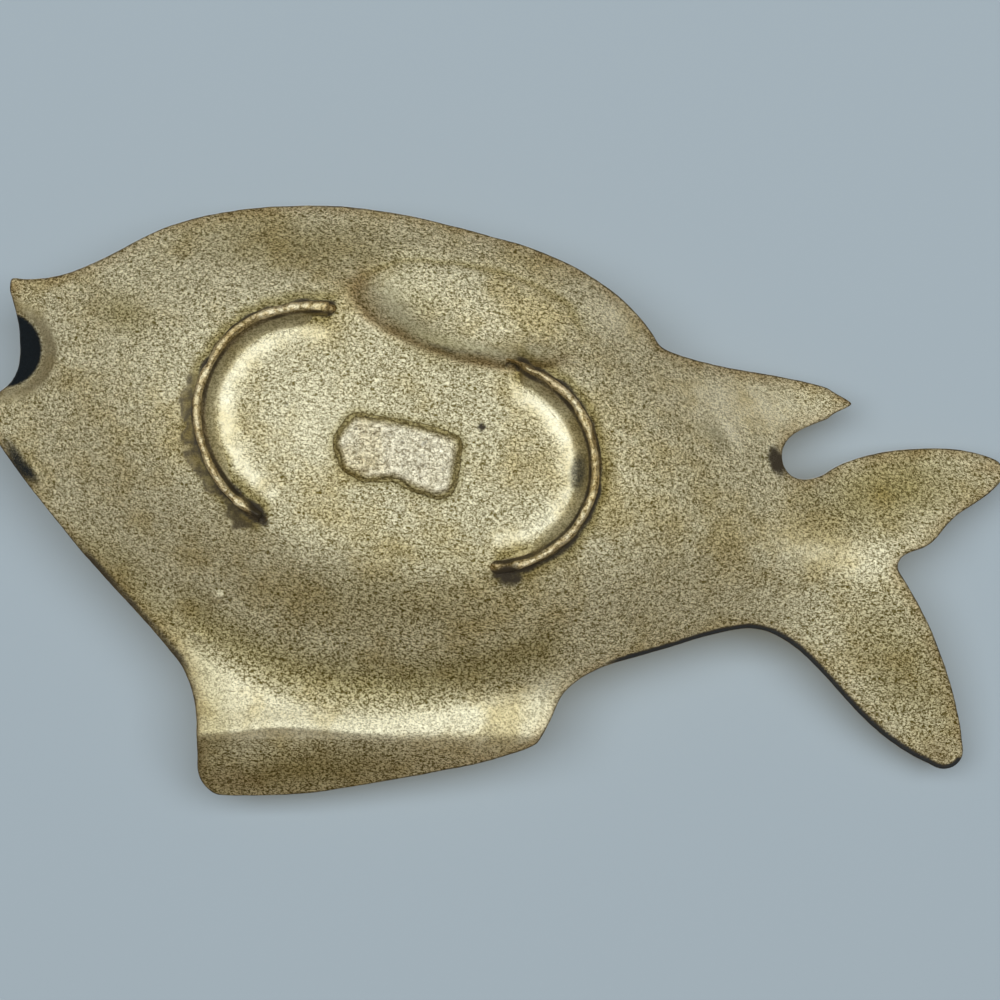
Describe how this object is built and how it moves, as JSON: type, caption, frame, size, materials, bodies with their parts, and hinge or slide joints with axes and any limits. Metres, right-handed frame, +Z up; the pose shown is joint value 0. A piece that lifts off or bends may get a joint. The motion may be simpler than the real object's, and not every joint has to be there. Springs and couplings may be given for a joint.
{
  "type": "fish-shaped trinket dish",
  "caption": "Shallow cast-brass dish in the outline of a fish, with a forked tail, a folded belly fin and crescent foot rails underneath, for small items on a table.",
  "frame": {"origin": "on the table plane that the foot rails stand on, under the middle of the outline's box", "axes": "+X from the mouth to the tail, +Y from the back to the belly fin, +Z up out of the bowl; the pictured underside faces -Z"},
  "size_m": [0.1408, 0.082, 0.0226],
  "materials": {
    "cast_brass": "dull aged as-cast brass with a sandy grain",
    "worn_brass": "as-cast brass worn brighter on the crests",
    "rough_brass": "rough broken-off brass with grime in its hollows"
  },
  "bodies": {
    "root": {"body": "cast_brass", "front_foot_rail": "worn_brass", "rear_foot_rail": "worn_brass", "centre_pad": "rough_brass"}
  },
  "joints": []
}
